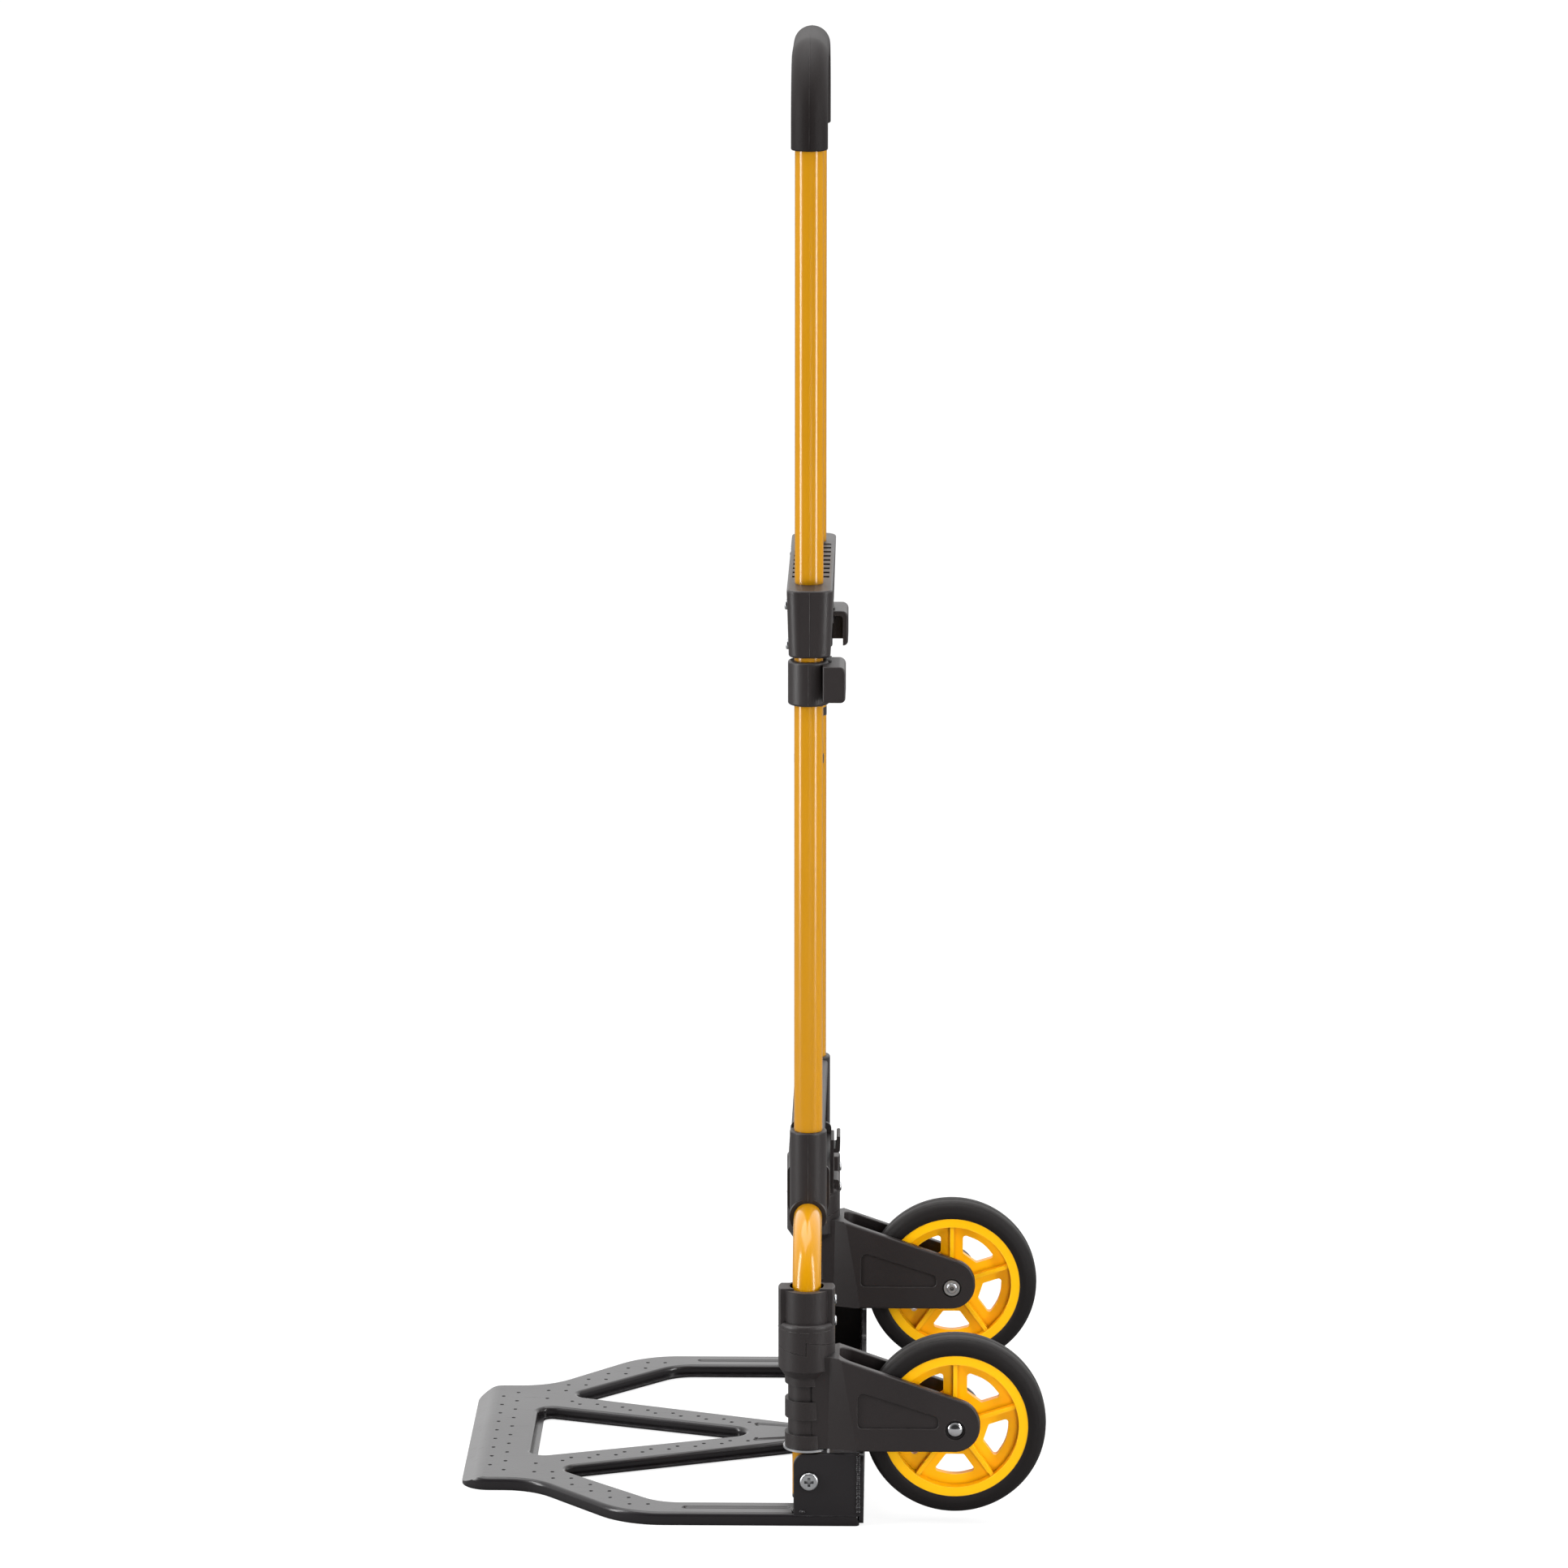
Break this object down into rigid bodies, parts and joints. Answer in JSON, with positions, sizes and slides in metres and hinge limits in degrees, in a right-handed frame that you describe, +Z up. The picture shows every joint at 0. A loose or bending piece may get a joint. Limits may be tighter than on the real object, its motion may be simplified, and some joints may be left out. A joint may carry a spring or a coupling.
{
  "type": "folding hand truck",
  "caption": "Folding hand truck with a telescopic U handle, a pressed toe plate that folds up, and wheels on swinging yokes that fold in as the plate rises.",
  "frame": {"origin": "centre of the bounding box's base, on the floor that the toe plate stands on", "axes": "+X to the rear, the wheel side; -X the toe plate's front edge; +Y the truck's right; +Z up along the handle"},
  "size_m": [0.4144, 0.4004, 1.026],
  "materials": {
    "yellow_paint": "gloss golden-yellow powder paint",
    "black_plastic": "fine-grained moulded plastic",
    "grip_rubber": "soft matte rubber",
    "tyre_rubber": "matte solid tyre",
    "yellow_plastic": "satin saturated yellow",
    "bush_plastic": "plain",
    "zinc": "bright zinc plate",
    "chrome": "polished",
    "black_paint": "satin black powder coat"
  },
  "bodies": {
    "frame": {"lower_frame": "yellow_paint", "left_upright": "yellow_paint", "right_upright": "yellow_paint", "left_saddle": "black_plastic", "right_saddle": "black_plastic", "cross_member": "black_plastic", "cord_hook": "black_plastic", "cross_block": "black_plastic", "left_block_screw_lower": "zinc", "right_block_screw_lower": "zinc", "left_block_screw_upper": "zinc", "right_block_screw_upper": "zinc", "left_cam_collar": "black_plastic", "right_cam_collar": "black_plastic", "left_collar_screw_lower": "zinc", "right_collar_screw_lower": "zinc", "left_collar_screw_upper": "zinc", "right_collar_screw_upper": "zinc", "left_leg_plug": "black_plastic", "right_leg_plug": "black_plastic"},
    "handle": {"handle_tube": "yellow_paint", "handle_grip": "grip_rubber", "left_handle_foot": "black_plastic", "right_handle_foot": "black_plastic"},
    "toe": {"toe_plate": "black_paint", "left_toe_ear": "black_paint", "right_toe_ear": "black_paint", "rear_wall": "black_paint", "left_hinge_screw": "zinc", "right_hinge_screw": "zinc", "left_hinge_nut": "zinc", "right_hinge_nut": "zinc"},
    "left_release": {"left_release_collar": "black_plastic", "left_release_pin": "zinc"},
    "left_washer": {"left_thrust_washer": "zinc"},
    "left_fork": {"left_yoke": "black_plastic", "left_axle_bolt": "chrome", "left_axle_washer": "zinc", "left_axle_screw": "zinc"},
    "left_wheel": {"left_wheel_hub": "yellow_plastic", "left_tyre": "tyre_rubber", "left_wheel_bush": "bush_plastic"},
    "right_release": {"right_release_collar": "black_plastic", "right_release_pin": "zinc"},
    "right_washer": {"right_thrust_washer": "zinc"},
    "right_fork": {"right_yoke": "black_plastic", "right_axle_bolt": "chrome", "right_axle_washer": "zinc", "right_axle_screw": "zinc"},
    "right_wheel": {"right_wheel_hub": "yellow_plastic", "right_tyre": "tyre_rubber", "right_wheel_bush": "bush_plastic"}
  },
  "joints": [
    {"name": "handle_slide", "type": "slide", "parent": "frame", "child": "handle", "axis": [0, 0, 1], "range_m": [-0.25, 0]},
    {"name": "toe_fold", "type": "hinge", "parent": "frame", "child": "toe", "pos_m": [0.0419, 0, 0.0327], "axis": [0, 1, 0], "range_deg": [0, 90]},
    {"name": "left_release_lift", "type": "slide", "parent": "frame", "child": "left_release", "axis": [0, 0, 1], "range_m": [0, 0.0025], "stiffness_N_per_m": 400, "springref_m": -0.003},
    {"name": "left_cam_drop", "type": "slide", "parent": "frame", "child": "left_washer", "axis": [0, 0, -1], "range_m": [0, 0.0047]},
    {"name": "left_fork_swing", "type": "hinge", "parent": "left_washer", "child": "left_fork", "pos_m": [0.04, -0.178, 0.0925], "axis": [0, 0, 1], "range_deg": [0, 90]},
    {"name": "left_wheel_spin", "type": "hinge", "parent": "left_fork", "child": "left_wheel", "pos_m": [0.14375, -0.178, 0.0725], "axis": [0, 1, 0], "continuous": true},
    {"name": "right_release_lift", "type": "slide", "parent": "frame", "child": "right_release", "axis": [0, 0, 1], "range_m": [0, 0.0025], "stiffness_N_per_m": 400, "springref_m": -0.003},
    {"name": "right_cam_drop", "type": "slide", "parent": "frame", "child": "right_washer", "axis": [0, 0, -1], "range_m": [0, 0.0047]},
    {"name": "right_fork_swing", "type": "hinge", "parent": "right_washer", "child": "right_fork", "pos_m": [0.04, 0.178, 0.0925], "axis": [0, 0, 1], "range_deg": [-90, 0]},
    {"name": "right_wheel_spin", "type": "hinge", "parent": "right_fork", "child": "right_wheel", "pos_m": [0.14375, 0.178, 0.0725], "axis": [0, 1, 0], "continuous": true}
  ],
  "couplings": [
    {"joint": "left_cam_drop", "follows": "toe_fold", "m_per_rad": 0.0029603},
    {"joint": "left_fork_swing", "follows": "toe_fold", "ratio": 1},
    {"joint": "right_cam_drop", "follows": "toe_fold", "m_per_rad": 0.0029603},
    {"joint": "right_fork_swing", "follows": "toe_fold", "ratio": -1}
  ]
}
